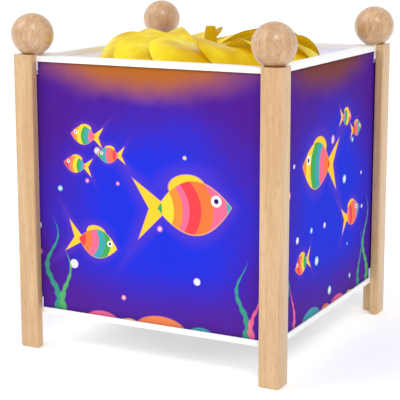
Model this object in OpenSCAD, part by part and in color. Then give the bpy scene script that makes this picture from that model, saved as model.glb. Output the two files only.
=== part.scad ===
// Rotating motion lamp: a square lantern on four rebated beech posts with ball finials. Film panels close its
// sides. A capsule bulb warms the air inside, the air turns a vaned turbine in the open top, and the turbine
// carries an inner film drum round on a needle point. The drum and the wire stand that carries it lift out
// through the top. The origin is the centre of the footprint, on the surface that the posts stand on. +Z is up,
// and the front panel faces -Y.

/* [Posts and balls] */
// Width and depth across the outer faces of the posts
body_w = 165; // [155:1:190]
// Height of the posts
post_h = 171; // [165:1:200]
// Side of a post's square outline
post_w = 12.2; // [11.6:0.2:14]
// Thickness of the two legs that the rebate leaves on a post
post_leg = 5.2; // [4.5:0.1:5.8]
// Radius of the long edges of a post
post_edge = 1; // [0.5:0.1:1.5]
// Diameter of a ball finial
ball_d = 24; // [20:1:26]
// Height of the cap cut off a ball to seat it on its post
ball_cut = 1.2; // [0.8:0.1:1.8]

/* [Top frame and tray] */
// Height of the frame's rails and of the tray's edge
rail_h = 3.2; // [2.8:0.1:4.5]
// Distance from the top of the posts down to the top of the rails
frame_drop = 0.8; // [0.4:0.1:2]
// Width of the tray's raised edge, seen from above
edge_w = 5; // [4:0.5:7]
// Height of the corner blocks of the frame and the tray
block_h = 9; // [8:0.5:12]
// Height of the tray's underside above the table
tray_z = 20.8; // [16:0.2:26]
// Thickness of the tray's floor
tray_t = 1.4; // [1:0.1:1.8]
// Number of air slots round the tray
slot_count = 24; // [12:4:28]
// Width of an air slot
slot_w = 3.6; // [2:0.2:3.8]
// Inner end of the air slots, from the centre
slot_in = 34; // [33:1:38]
// Outer end of the air slots, from the centre
slot_out = 62; // [50:1:64]

/* [Film panels] */
// Thickness of a panel
film_t = 0.6; // [0.4:0.1:0.8]
// Depth of the grooves that hold the panels
groove_d = 1.6; // [1:0.1:1.6]
// Distance from the outer face of a rail to its groove
groove_in = 0.9; // [0.7:0.1:1.2]

/* [Screws of the case] */
// Diameter of the screws that hold the balls
ball_screw_d = 3; // [2.5:0.5:3]
// Length of a ball screw inside its ball
ball_screw_grip = 12; // [8:0.5:14]
// Diameter of the screws that hold the posts to the tray
post_screw_d = 2.4; // [2:0.2:2.8]

/* [Turbine] */
// Outside diameter of the turbine
turbine_d = 132; // [124:1:134]
// Height of the turbine's rim
rim_h = 10; // [8:0.5:12]
// Thickness of the rim
rim_t = 1.2; // [1:0.1:1.6]
// Depth of the top of the rim below the top of the posts
rim_drop = 5; // [4:0.5:8]
// Number of vanes
vane_count = 12; // [8:1:14]
// Thickness of a vane
vane_t = 0.9; // [0.8:0.1:1.2]
// Height of a vane's open edge above its closed edge, at the crest
vane_rise = 7; // [5:0.5:9]
// Height of a vane's closed edge above its root, at the crest
back_rise = 5.5; // [3:0.5:7]
// Radius at which a vane is highest
crest_r = 48; // [42:1:52]
// Angle by which a vane's open edge leans ahead at its crest
vane_lean = 12; // [0:1:14]
// Direction of the first vane's open edge at the rim
vane_phase = -59; // [-180:1:180]
// Radius of the flat disc round the hub
disc_r = 13; // [12:0.5:16]
// Height of the disc above the top of the rim
disc_up = 6; // [4:0.5:8]
// Height of the hub above the disc
hub_up = 11; // [9:0.2:14]
// Radius of the hub's top
hub_top_r = 2.85; // [2.85:0.05:3.5]
// Radius of the hub where it meets the disc
hub_low_r = 4; // [3.8:0.1:5]
// Length of the hub below the disc
hub_down = 12; // [10:0.5:16]

/* [Drum] */
// Thickness of the drum's film
drum_t = 0.5; // [0.4:0.1:0.8]
// Height of the drum's lower edge above the table
drum_z = 34; // [33:0.5:40]
// Height of the hoop round the drum's lower edge
hoop_h = 4; // [3:0.5:6]
// Thickness of the hoop
hoop_t = 1; // [0.8:0.1:1.4]

/* [Needle and wire stand] */
// Diameter of the stand's wire
wire_d = 2.5; // [2:0.1:3]
// Half the distance between the stand's legs
stand_r = 24; // [23.5:0.5:27]
// Length of a leg inside its socket in the tray
socket_depth = 7; // [5:0.5:9]
// Thickness of a socket's wall
socket_wall = 1.6; // [1.2:0.1:2]
// Diameter of the needle
needle_d = 1.6; // [1.2:0.1:1.8]
// Diameter of the bearing cap that turns on the needle
cap_d = 4.6; // [4.2:0.1:4.8]
// Height of the bearing cap
cap_h = 9; // [7:0.5:10]

/* [Lampholder and bulb] */
// Height of the bracket's top above the tray's floor
bracket_h = 9.4; // [8.6:0.2:12]
// Width of the bracket's strip
bracket_w = 12; // [11:0.5:14]
// Height of the ceramic lampholder
holder_h = 14; // [12:0.5:16]
// Spacing of the bulb's two pins
pin_gap = 4; // [3.6:0.1:4.4]
// Diameter of a pin
pin_d = 0.8; // [0.7:0.05:1.1]
// Length of a pin
pin_len = 7.5; // [6:0.5:9]
// Diameter of the bulb's glass
bulb_d = 11; // [10:0.5:13]
// Height of the bulb above the lampholder
bulb_h = 36; // [30:1:44]

/* [Wiring] */
// Diameter of an insulated lead
lead_d = 2; // [1.6:0.1:2.2]
// Distance of the terminal block from the centre, towards the back
terminal_y = 46; // [44:1:50]
// Diameter of the hole for the supply cable
cable_bore = 6; // [5:0.2:7]
// Length of the grommet along its hole
grommet_h = 5; // [4.4:0.2:7]

/* [Hidden] */
$fn = 64;
e = 0.01;
run_gap = 0.05; // radial gap between pieces that turn or slide on each other
fit_gap = 0.1; // gap round pieces that are assembled and stay put
half = body_w / 2;
case_out = half - post_leg; // outer faces of the frame and the tray, against the posts' legs
case_in = half - post_w; // half the width of the opening in the top frame
block_w = post_w - post_leg; // a corner block fills the rebate of its post
corners = [[-1, -1], [1, -1], [1, 1], [-1, 1]];
case_top = post_h - frame_drop;
ball_r = ball_d / 2;
ball_at = case_out - 0.4 * block_w; // both coordinates of a ball's axis
ball_z = post_h + ball_r - ball_cut;
ball_screw_r = ball_screw_d / 2;
ball_head_r = ball_screw_d * 0.9;
ball_head_h = 2;

groove_w = film_t + 2 * fit_gap;
film_at = case_out - groove_in - groove_w / 2; // middle of a panel's thickness
film_half = film_at - film_t / 2 - 0.3; // half the width of a panel
film_low = tray_z + rail_h - groove_d + fit_gap;
film_high = case_top - rail_h + groove_d - fit_gap;
floor_top = tray_z + tray_t;
slot_gap_at = 82.5; // the slots leave out the directions of the terminal block and the grommet
slot_gap_half = 25;
tray_block_top = tray_z + block_h;
block_cut = 3.4; // chamfer on the inner corner of a tray's corner block, for the head of a post screw
post_screw_r = post_screw_d / 2;
post_screw_z = tray_block_top - 2.8;
post_head_r = 2.1;
post_head_h = 1.5;
post_screw_seat = (case_in + block_cut / 2) * sqrt(2); // from the axis of the lamp to the chamfer
post_screw_len = (half - 0.7) * sqrt(2) - 2 - post_screw_seat;

turbine_r = turbine_d / 2;
rim_top = post_h - rim_drop;
rim_low = rim_top - rim_h;
rim_in = turbine_r - rim_t;
disc_z = rim_top + disc_up; // underside of the disc
disc_t = 1.2;
hub_top = disc_z + disc_t + hub_up;
hub_low = disc_z - hub_down;
root_sink = 0.6; // depth that the vanes' ends run into the disc and the rim
vane_in = disc_r - root_sink;
vane_out = turbine_r - rim_t / 2;
vane_slit = 2; // angle between one vane's closed edge and the next vane's open edge
outer_curve = 3.2; // powers of the arch outside and inside its crest
inner_curve = 1.45;
fall_curve = 1.6; // power of a vane's fall from its open edge to its closed edge
radial_steps = 12;
bead_r = 0.9; // radius of the bead along a closed edge
bead_sides = 6;
rim_sides = 120; // fine enough to clear the film of the drum by its fit
angle_steps = 4;
hub_flange_r = hub_low_r + 1.8;
drum_r = rim_in - fit_gap / 2; // outside of the drum's film
drum_top_gap = 2.5; // from the top of the rim down to the top of the film
cap_r = cap_d / 2;
cap_top = disc_z + 3;
cap_low = cap_top - cap_h;
cap_roof = 2; // thickness of the cap over the needle's point
needle_r = needle_d / 2;
needle_tip = cap_top - cap_roof - run_gap;
needle_cone = 2.4;

wire_r = wire_d / 2;
crown_z = rim_low - 8; // height of the wire's middle at the top of the stand
arch_z = crown_z - stand_r;
ferrule_r = wire_r + 1;
ferrule_h = 6;
socket_r = wire_r + run_gap + socket_wall;
leg_low = floor_top;
needle_low = crown_z; // the needle stands on the floor of its hole in the ferrule
needle_point_r = 0.15;

bracket_t = 1.2;
bracket_half = 10.4; // half the width of the bracket's top
bracket_foot = 8;
bracket_top = floor_top + bracket_h;
foot_screw_x = bracket_half + 4;
foot_screw_r = 1.5;
foot_nut_h = 2.4;
flange_x = 18.4;
flange_h = 3;
flange_screw_x = 7.4;
flange_screw_r = 0.9;
holder_x = 11;
holder_y = 9;
holder_top = bracket_top + holder_h;
seal_h = 8;
seal_x = 8;
seal_y = 3.6;
glass_t = 0.9;
seal_pin = 3; // length of a pin inside the seal
glass_low = holder_top + seal_h; // underside of the round glass
bulb_r = bulb_d / 2;
bulb_top = holder_top + bulb_h;
coil_z = glass_low + (bulb_top - glass_low) * 0.45;
coil_half = 2.4;
coil_r = 0.7;
support_r = 0.25;

lead_r = lead_d / 2;
lead_x = 4; // half the spacing of the leads, the poles and the terminals under the lampholder
lead_bend = 4;
lead_z = floor_top + 3.4;
lead_in = 2.4; // length of a lead inside the lampholder
terminal_w = 18;
terminal_l = 12;
terminal_top = floor_top + 8.6;
pole_r = 1.9;
pole_len = 10;
pole_screw_r = 0.9;
pole_screw_y = 2.6; // from the middle of a pole to each of its screws
pole_screw_h = 3.4;
pole_head_r = 1.5;
pole_head_h = 1;
grommet_at = [16, terminal_y + 2];
grommet_flange = 1.2;

// ---------------------------------------------------------------------------------------------- shapes

// A square with round corners, about the origin.
module round_square(side, radius) {
    inner = side - 2 * radius;
    square([side, inner], center = true);
    square([inner, side], center = true);
    for (c = corners)
        translate([c.x * inner / 2, c.y * inner / 2])
            circle(r = radius);
}

// A tube that stands on z = 0.
module tube(outer, inner, height) {
    difference() {
        cylinder(h = height, r = outer);
        translate([0, 0, -1])
            cylinder(h = height + 2, r = inner);
    }
}

// ---------------------------------------------------------------------------------------------- case

// One post. Its rebate takes the corner blocks of the frame and the tray.
module post(corner) {
    middle = half - post_w / 2;
    color("burlywood")
        difference() {
            translate([corner.x * middle, corner.y * middle, 0])
                linear_extrude(height = post_h)
                    difference() {
                        round_square(post_w, post_edge);
                        translate([-corner.x * post_leg, -corner.y * post_leg])
                            square(post_w, center = true);
                    }
            post_screw_axis(corner)
                cylinder(h = post_screw_len + fit_gap, r = post_screw_r + run_gap);
        }
}

// Puts its children on the axis of a corner's post screw, with +Z from the chamfer towards the post.
module post_screw_axis(corner) {
    rotate([0, 0, atan2(corner.y, corner.x)])
        translate([post_screw_seat, 0, post_screw_z])
            rotate([0, 90, 0])
                children();
}

module post_screws() {
    color("silver")
        for (c = corners)
            post_screw_axis(c) {
                cylinder(h = post_screw_len, r = post_screw_r);
                translate([0, 0, -post_head_h])
                    cylinder(h = post_head_h, r = post_head_r);
            }
}

// One ball finial. It is glued to the end of its post and screwed to the corner block of the top frame.
module ball(corner) {
    color("burlywood")
        translate([corner.x * ball_at, corner.y * ball_at, 0])
            difference() {
                translate([0, 0, ball_z])
                    sphere(r = ball_r);
                translate([-ball_r, -ball_r, post_h - ball_d])
                    cube(ball_d);
                translate([0, 0, post_h - 1])
                    cylinder(h = 1 + ball_screw_grip + fit_gap, r = ball_screw_r + run_gap);
            }
}

module ball_screws() {
    color("silver")
        for (c = corners)
            translate([c.x * ball_at, c.y * ball_at, post_h - block_h]) {
                cylinder(h = block_h + ball_screw_grip, r = ball_screw_r);
                translate([0, 0, -ball_head_h])
                    cylinder(h = ball_head_h, r = ball_head_r);
            }
}

// The four grooves for the panels, cut into the edges of the frame and the tray.
module film_grooves(low) {
    for (side = [0 : 90 : 270])
        rotate([0, 0, side])
            translate([-film_at - groove_w / 2, -film_at - groove_w / 2, low])
                cube([2 * film_at + groove_w, groove_w, groove_d + e]);
}

// Four corner blocks, from height low upwards.
module corner_blocks(low) {
    for (c = corners)
        translate([c.x * (case_out - block_w / 2), c.y * (case_out - block_w / 2), low + block_h / 2])
            cube([block_w, block_w, block_h], center = true);
}

module top_frame() {
    color("white")
        difference() {
            union() {
                difference() {
                    translate([-case_out, -case_out, case_top - rail_h])
                        cube([2 * case_out, 2 * case_out, rail_h]);
                    film_grooves(case_top - rail_h - e);
                    translate([-case_in, -case_in, 0])
                        cube([2 * case_in, 2 * case_in, 2 * post_h]);
                }
                corner_blocks(post_h - block_h);
            }
            for (c = corners)
                translate([c.x * ball_at, c.y * ball_at, post_h - block_h - 1])
                    cylinder(h = block_h + 2, r = ball_screw_r + fit_gap);
        }
}

// One air slot, along +X.
module air_slot() {
    for (x = [slot_in + slot_w / 2, slot_out - slot_w / 2])
        translate([x, 0, tray_z - 1])
            cylinder(h = tray_t + 2, r = slot_w / 2);
    translate([slot_in + slot_w / 2, -slot_w / 2, tray_z - 1])
        cube([slot_out - slot_in - slot_w, slot_w, tray_t + 2]);
}

module base_tray() {
    pitch = 360 / slot_count;
    color("white")
        difference() {
            union() {
                difference() {
                    translate([-case_out, -case_out, tray_z])
                        cube([2 * case_out, 2 * case_out, rail_h]);
                    translate([edge_w - case_out, edge_w - case_out, floor_top])
                        cube([2 * (case_out - edge_w), 2 * (case_out - edge_w), rail_h]);
                    film_grooves(tray_z + rail_h - groove_d);
                }
                difference() {
                    corner_blocks(tray_z);
                    rotate([0, 0, 45])
                        translate([0, 0, tray_z])
                            cube([2 * post_screw_seat, 2 * post_screw_seat, 3 * block_h], center = true);
                }
                for (side = [-1, 1])
                    translate([side * stand_r, 0, tray_z])
                        cylinder(h = tray_t + socket_depth, r = socket_r);
            }
            for (c = corners)
                post_screw_axis(c)
                    translate([0, 0, -block_w])
                        cylinder(h = 3 * block_w, r = post_screw_r + fit_gap);
            for (side = [-1, 1]) {
                translate([side * stand_r, 0, floor_top])
                    cylinder(h = socket_depth + 1, r = wire_r + run_gap);
                translate([side * foot_screw_x, 0, tray_z - 1])
                    cylinder(h = tray_t + 2, r = foot_screw_r + fit_gap);
            }
            translate([grommet_at.x, grommet_at.y, tray_z - 1])
                cylinder(h = tray_t + 2, r = cable_bore / 2 + grommet_flange);
            for (i = [0 : slot_count - 1])
                if (abs(i * pitch - slot_gap_at) > slot_gap_half)
                    rotate([0, 0, i * pitch])
                        air_slot();
        }
}

// A flat panel with its corners notched to clear the corner blocks and the heads of the ball screws. side is 0 for
// the front and 1 for the right.
module panel(side) {
    notch = film_half - case_in + fit_gap;
    notch_low = tray_block_top + fit_gap; // top of the lower notches
    notch_high = post_h - block_h - ball_head_h - fit_gap; // bottom of the upper ones
    color("slateblue")
        rotate([0, 0, side * 90])
            difference() {
                translate([-film_half, -film_at - film_t / 2, film_low])
                    cube([2 * film_half, film_t, film_high - film_low]);
                for (x = [-film_half - e, film_half - notch]) {
                    translate([x, -film_at - film_t, film_low - e])
                        cube([notch + e, 2 * film_t, notch_low - film_low + e]);
                    translate([x, -film_at - film_t, notch_high])
                        cube([notch + e, 2 * film_t, film_high - notch_high + e]);
                }
            }
}

// ---------------------------------------------------------------------------------------------- rotor

// Share of the full rise at radius r: 1 at the crest, and 0 at both ends of a vane.
function arch(r) = r > crest_r
    ? 1 - pow((r - crest_r) / (vane_out - crest_r), outer_curve)
    : 1 - pow((crest_r - r) / (crest_r - vane_in), inner_curve);

// Height of the vanes' roots, a straight line from the middle of the disc down into the rim.
function root_z(r) = let(
        share = (r - vane_in) / (vane_out - vane_in)
    ) (disc_z + disc_t / 2) * (1 - share) + (rim_top - root_sink) * share;

// Radius at step i. The steps get shorter towards the rim, where the vanes are steepest.
function step_r(i) = vane_out - (vane_out - vane_in) * pow(1 - i / radial_steps, 1.5);

// A point on a vane, at step i outwards from the disc to the rim. v runs from the open edge to the closed one.
function vane_point(i, v, depth) = let(
        r = step_r(i),
        angle = v * (360 / vane_count - vane_slit) - vane_lean * arch(r) * (1 - v),
        steep = max(0, (r - crest_r) / (vane_out - crest_r)),
        radius = r - depth * 0.6 * steep,
        rise = back_rise + vane_rise * pow(1 - v, fall_curve),
        z = root_z(r) + rise * arch(r) - depth * (1 - 0.5 * steep)
    ) [radius * cos(angle), radius * sin(angle), z];

// One vane: a sheet over a grid of u and v, with its lower face vane_t below the upper one.
module vane() {
    row = angle_steps + 1;
    layer = (radial_steps + 1) * row;
    points = [for (depth = [0, vane_t], i = [0 : radial_steps], j = [0 : angle_steps])
        vane_point(i, j / angle_steps, depth)];
    cells = [for (i = [0 : radial_steps - 1], j = [0 : angle_steps - 1]) i * row + j];
    upper = [for (c = cells) each [[c, c + 1, c + row + 1], [c, c + row + 1, c + row]]];
    lower = [for (c = cells) each [
        [layer + c, layer + c + row + 1, layer + c + 1],
        [layer + c, layer + c + row, layer + c + row + 1]]];
    open_edge = [for (i = [0 : radial_steps - 1]) let(a = i * row, b = a + row) each [
        [a, b, layer + b], [a, layer + b, layer + a]]];
    closed_edge = [for (i = [0 : radial_steps - 1]) let(a = i * row + angle_steps, b = a + row) each [
        [a, layer + a, layer + b], [a, layer + b, b]]];
    inner_end = [for (j = [0 : angle_steps - 1]) let(a = j, b = j + 1) each [
        [b, a, layer + a], [b, layer + a, layer + b]]];
    outer_end = [for (j = [0 : angle_steps - 1]) let(a = radial_steps * row + j, b = a + 1) each [
        [a, b, layer + b], [a, layer + b, layer + a]]];
    polyhedron(points, concat(upper, lower, open_edge, closed_edge, inner_end, outer_end), convexity = 4);
}

// The round bead along a vane's closed edge, from the disc over the arch to the rim.
module bead() {
    last = radial_steps * bead_sides;
    points = [for (i = [0 : radial_steps], k = [0 : bead_sides - 1])
        let(r = step_r(i), turn = k * 360 / bead_sides)
            [r, bead_r * cos(turn), root_z(r) + back_rise * arch(r) - vane_t / 2 + bead_r * sin(turn)]];
    walls = [for (i = [0 : radial_steps - 1], k = [0 : bead_sides - 1])
        let(a = i * bead_sides + k, b = i * bead_sides + (k + 1) % bead_sides)
            each [[a, b + bead_sides, b], [a, a + bead_sides, b + bead_sides]]];
    ends = [[for (k = [0 : bead_sides - 1]) k], [for (k = [bead_sides - 1 : -1 : 0]) last + k]];
    rotate([0, 0, -vane_slit])
        polyhedron(points, concat(walls, ends), convexity = 4);
}

module turbine() {
    color("gold") {
        for (i = [0 : vane_count - 1])
            rotate([0, 0, vane_phase + i * 360 / vane_count]) {
                vane();
                bead();
            }
        translate([0, 0, rim_low])
            tube(turbine_r, rim_in, rim_h, $fn = rim_sides);
        translate([0, 0, disc_z])
            tube(disc_r, hub_low_r + fit_gap, disc_t);
    }
}

// The hub's cone, its flange under the disc, and the blind bore for the bearing cap.
module turbine_hub() {
    color("gold")
        difference() {
            union() {
                translate([0, 0, disc_z + disc_t])
                    cylinder(h = hub_top - disc_z - disc_t, r1 = hub_low_r, r2 = hub_top_r);
                translate([0, 0, hub_low])
                    cylinder(h = disc_z + disc_t - hub_low, r = hub_low_r);
                translate([0, 0, disc_z - disc_t])
                    cylinder(h = disc_t, r = hub_flange_r);
            }
            translate([0, 0, hub_low - 1])
                cylinder(h = cap_top - hub_low + 1, r = cap_r + run_gap);
        }
}

module bearing_cap() {
    color("goldenrod")
        translate([0, 0, cap_low])
            difference() {
                cylinder(h = cap_h, r = cap_r);
                translate([0, 0, -1])
                    cylinder(h = cap_h - cap_roof + 1, r = needle_r + run_gap);
            }
}

module drum_film() {
    color("plum")
        translate([0, 0, drum_z])
            tube(drum_r, drum_r - drum_t, rim_top - drum_top_gap - drum_z);
}

module drum_hoop() {
    color("gold")
        translate([0, 0, drum_z])
            tube(drum_r + fit_gap / 2 + hoop_t, drum_r + fit_gap / 2, hoop_h);
}

// ---------------------------------------------------------------------------------------------- stand

module wire_stand() {
    color("silver")
        difference() {
            union() {
                for (side = [-1, 1])
                    translate([side * stand_r, 0, leg_low])
                        cylinder(h = arch_z - leg_low, r = wire_r);
                translate([0, 0, arch_z])
                    rotate([90, 0, 0])
                        rotate_extrude(angle = 180)
                            translate([stand_r, 0])
                                circle(r = wire_r);
                translate([0, 0, crown_z - ferrule_r])
                    cylinder(h = ferrule_h, r = ferrule_r);
            }
            translate([0, 0, needle_low])
                cylinder(h = ferrule_h, r = needle_r + run_gap);
        }
}

module pivot_needle() {
    color("silver") {
        translate([0, 0, needle_low])
            cylinder(h = needle_tip - needle_cone - needle_low, r = needle_r);
        translate([0, 0, needle_tip - needle_cone])
            cylinder(h = needle_cone, r1 = needle_r, r2 = needle_point_r);
    }
}

// ---------------------------------------------------------------------------------------------- lampholder

module lampholder_bracket() {
    color("silver")
        difference() {
            translate([0, bracket_w / 2, 0])
                rotate([90, 0, 0])
                    linear_extrude(height = bracket_w) {
                        translate([-bracket_half, bracket_top - bracket_t])
                            square([2 * bracket_half, bracket_t]);
                        for (side = [-1, 1])
                            mirror([side < 0 ? 1 : 0, 0]) {
                                translate([bracket_half - bracket_t, floor_top])
                                    square([bracket_t, bracket_h]);
                                translate([bracket_half - bracket_t, floor_top])
                                    square([bracket_foot + bracket_t, bracket_t]);
                            }
                    }
            for (side = [-1, 1]) {
                translate([side * foot_screw_x, 0, floor_top - 1])
                    cylinder(h = bracket_t + 2, r = foot_screw_r + fit_gap);
                translate([side * flange_screw_x, 0, bracket_top - bracket_t - 1])
                    cylinder(h = bracket_t + 2, r = flange_screw_r + run_gap);
                translate([side * lead_x, 0, bracket_top - bracket_t - 1])
                    cylinder(h = bracket_t + 2, r = lead_r + 2 * fit_gap);
            }
        }
}

module bracket_screws() {
    color("silver")
        for (side = [-1, 1])
            translate([side * foot_screw_x, 0, tray_z - foot_nut_h - 1]) {
                cylinder(h = 1 + foot_nut_h + tray_t + bracket_t, r = foot_screw_r);
                translate([0, 0, 1 + foot_nut_h + tray_t + bracket_t])
                    cylinder(h = 1.8, r = foot_screw_r * 1.9);
            }
}

module bracket_nuts() {
    color("silver")
        for (side = [-1, 1])
            translate([side * foot_screw_x, 0, tray_z - foot_nut_h])
                difference() {
                    cylinder(h = foot_nut_h, r = foot_screw_r * 2.1, $fn = 6);
                    translate([0, 0, -1])
                        cylinder(h = foot_nut_h + 2, r = foot_screw_r + run_gap);
                }
}

module lampholder() {
    color("linen")
        translate([0, 0, bracket_top])
            difference() {
                union() {
                    translate([-holder_x / 2, -holder_y / 2, 0])
                        cube([holder_x, holder_y, holder_h]);
                    translate([-flange_x / 2, -holder_y / 2, 0])
                        cube([flange_x, holder_y, flange_h]);
                }
                for (side = [-1, 1]) {
                    translate([side * pin_gap / 2, 0, holder_h - pin_len - fit_gap])
                        cylinder(h = pin_len + 1, r = pin_d / 2 + run_gap);
                    translate([side * flange_screw_x, 0, -1])
                        cylinder(h = flange_h + 2, r = flange_screw_r + fit_gap);
                    translate([side * lead_x, 0, -1])
                        cylinder(h = lead_in + 1, r = lead_r + run_gap);
                }
            }
}

module holder_screws() {
    shank = flange_h + bracket_t + 1;
    color("silver")
        for (side = [-1, 1])
            translate([side * flange_screw_x, 0, bracket_top + flange_h]) {
                translate([0, 0, -shank])
                    cylinder(h = shank, r = flange_screw_r);
                cylinder(h = 1.2, r = flange_screw_r * 1.8);
            }
}

// ---------------------------------------------------------------------------------------------- bulb

// A cylinder with a domed top, from height low to height high.
module capsule(radius, low, high) {
    translate([0, 0, low])
        cylinder(h = high - radius - low, r = radius);
    translate([0, 0, high - radius])
        sphere(r = radius);
}

module bulb_glass() {
    color("lightcyan")
        difference() {
            union() {
                capsule(bulb_r, glass_low, bulb_top);
                translate([-seal_x / 2, -seal_y / 2, holder_top])
                    cube([seal_x, seal_y, seal_h + e]);
            }
            capsule(bulb_r - glass_t, glass_low + glass_t, bulb_top - glass_t);
            for (side = [-1, 1])
                translate([side * pin_gap / 2, 0, holder_top - 1])
                    cylinder(h = seal_pin + 1, r = pin_d / 2 + run_gap);
        }
}

module bulb_filament() {
    color("dimgray") {
        translate([-coil_half, 0, coil_z])
            rotate([0, 90, 0])
                cylinder(h = 2 * coil_half, r = coil_r);
        for (side = [-1, 1])
            translate([side * (coil_half - coil_r), 0, glass_low + glass_t])
                cylinder(h = coil_z - glass_low - glass_t, r = support_r);
    }
}

module bulb_pins() {
    color("silver")
        for (side = [-1, 1])
            translate([side * pin_gap / 2, 0, holder_top - pin_len])
                cylinder(h = pin_len + seal_pin, r = pin_d / 2);
}

// ---------------------------------------------------------------------------------------------- wiring

// Puts its children at each pole of the terminal block: the middle of its axis.
module at_poles() {
    for (side = [-1, 1])
        translate([side * lead_x, terminal_y, lead_z])
            children();
}

module terminal_block() {
    color("whitesmoke")
        difference() {
            translate([-terminal_w / 2, terminal_y - terminal_l / 2, floor_top])
                cube([terminal_w, terminal_l, terminal_top - floor_top]);
            at_poles() {
                rotate([90, 0, 0])
                    cylinder(h = terminal_l + 2, r = pole_r + run_gap, center = true);
                for (y = [-pole_screw_y, pole_screw_y])
                    translate([0, y, 0])
                        cylinder(h = terminal_top - floor_top, r = pole_head_r + fit_gap);
            }
        }
}

module terminal_poles() {
    color("goldenrod")
        at_poles()
            difference() {
                rotate([90, 0, 0])
                    cylinder(h = pole_len, r = pole_r, center = true);
                rotate([90, 0, 0])
                    cylinder(h = pole_len + 2, r = lead_r + run_gap, center = true);
                for (y = [-pole_screw_y, pole_screw_y])
                    translate([0, y, 0])
                        cylinder(h = 2 * pole_r, r = pole_screw_r + run_gap);
            }
}

module terminal_screws() {
    color("silver")
        at_poles()
            for (y = [-pole_screw_y, pole_screw_y])
                translate([0, y, lead_r + run_gap]) {
                    cylinder(h = pole_screw_h, r = pole_screw_r);
                    translate([0, 0, pole_screw_h - pole_head_h])
                        cylinder(h = pole_head_h, r = pole_head_r);
                }
}

// A lead: straight from its pole towards the front, then round a quarter turn and up into the lampholder.
module lead(side) {
    translate([side * lead_x, terminal_y - run_gap, lead_z])
        rotate([90, 0, 0])
            cylinder(h = terminal_y - run_gap - lead_bend, r = lead_r);
    translate([side * lead_x, lead_bend, lead_z + lead_bend])
        rotate([0, 90, 0])
            rotate([180, 0, 0])
                rotate_extrude(angle = 90)
                    translate([lead_bend, 0])
                        circle(r = lead_r);
    translate([side * lead_x, 0, lead_z + lead_bend])
        cylinder(h = bracket_top + lead_in - lead_z - lead_bend, r = lead_r);
}

module cable_grommet() {
    outer = cable_bore / 2 + grommet_flange;
    color("dimgray")
        translate([grommet_at.x, grommet_at.y, tray_z + tray_t / 2])
            difference() {
                union() {
                    cylinder(h = grommet_h, r = outer - fit_gap, center = true);
                    for (side = [0, 180])
                        rotate([side, 0, 0])
                            translate([0, 0, tray_t / 2])
                                cylinder(h = (grommet_h - tray_t) / 2, r = outer + grommet_flange);
                }
                cylinder(h = grommet_h + 2, r = cable_bore / 2, center = true);
            }
}

post(corners[0]);  // post_front_left
post(corners[1]);  // post_front_right
post(corners[2]);  // post_back_right
post(corners[3]);  // post_back_left
ball(corners[0]);  // ball_front_left
ball(corners[1]);  // ball_front_right
ball(corners[2]);  // ball_back_right
ball(corners[3]);  // ball_back_left
ball_screws();
post_screws();
top_frame();
base_tray();
panel(0);  // panel_front
panel(1);  // panel_right
panel(2);  // panel_back
panel(3);  // panel_left
turbine();
turbine_hub();
drum_film();
drum_hoop();
bearing_cap();
wire_stand();
pivot_needle();
lampholder();
lampholder_bracket();
bracket_screws();
bracket_nuts();
holder_screws();
bulb_glass();
bulb_filament();
bulb_pins();
terminal_block();
terminal_poles();
terminal_screws();
color("saddlebrown") lead(-1);  // lead_brown
color("royalblue") lead(1);  // lead_blue
cable_grommet();
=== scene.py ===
import math
from functools import cache

import bmesh
import bpy
import numpy as np
from bpy.props import FloatProperty, FloatVectorProperty, IntProperty, PointerProperty
from mathutils import Matrix, Vector


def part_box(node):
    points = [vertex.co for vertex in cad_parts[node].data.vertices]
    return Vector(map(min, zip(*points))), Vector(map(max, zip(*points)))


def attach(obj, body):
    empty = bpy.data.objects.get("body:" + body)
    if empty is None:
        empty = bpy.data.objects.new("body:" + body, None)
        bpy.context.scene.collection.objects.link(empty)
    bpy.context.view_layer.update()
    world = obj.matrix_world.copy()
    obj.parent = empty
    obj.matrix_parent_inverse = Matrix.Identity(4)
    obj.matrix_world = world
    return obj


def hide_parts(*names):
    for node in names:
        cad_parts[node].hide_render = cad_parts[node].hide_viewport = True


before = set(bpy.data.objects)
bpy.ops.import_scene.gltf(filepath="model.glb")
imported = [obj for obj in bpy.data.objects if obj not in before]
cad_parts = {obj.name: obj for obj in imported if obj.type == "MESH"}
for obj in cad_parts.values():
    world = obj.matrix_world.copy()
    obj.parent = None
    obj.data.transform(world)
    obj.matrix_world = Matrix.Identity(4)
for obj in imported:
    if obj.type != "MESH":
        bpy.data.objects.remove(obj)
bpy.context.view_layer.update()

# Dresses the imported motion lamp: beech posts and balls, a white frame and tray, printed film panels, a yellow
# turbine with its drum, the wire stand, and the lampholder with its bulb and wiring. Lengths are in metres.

bl_info = {
    "name": "Motion Lamp Dressing",
    "version": (1, 0, 0),
    "blender": (4, 5, 0),
    "location": "View3D > Sidebar > Motion Lamp",
    "description": "Builds the finished surfaces of a rotating motion lamp over its packed solids",
    "category": "Object",
}

MM = 0.001
MERGE_GAP = 0.002 * MM  # points of a mesh that lie this close become one
RUN_GAP = 0.05 * MM  # gap round a piece that turns, as in the solids
FIT_GAP = 0.1 * MM  # gap round a piece that stays put, as in the solids
DRUM_FILM = 0.5 * MM  # thickness of the drum's film
DRUM_WRAP = 64.5  # radius at which the drum's print is wrapped, in millimetres
STRIP_STEP = 200  # millimetres along the print from the front and back panels to the side panels
SENSOR_WIDTH = 36  # of the camera, in millimetres
PICTURE_WIDTH = 400  # in the pixels of the focal length
CORNERS = {"front_left": (-1, -1), "front_right": (1, -1), "back_right": (1, 1), "back_left": (-1, 1)}
PANEL_SIDES = {"front": 0, "right": 1, "back": 2, "left": 3}  # in quarter turns


def paint(red, green, blue):
    """An sRGB colour, each channel from 0 to 255, as the linear colour that a shader takes."""
    share = np.array([red, green, blue]) / 255
    linear = np.where(share <= 0.04045, share / 12.92, ((share + 0.055) / 1.055) ** 2.4)
    return (*linear.tolist(), 1.0)


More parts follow.
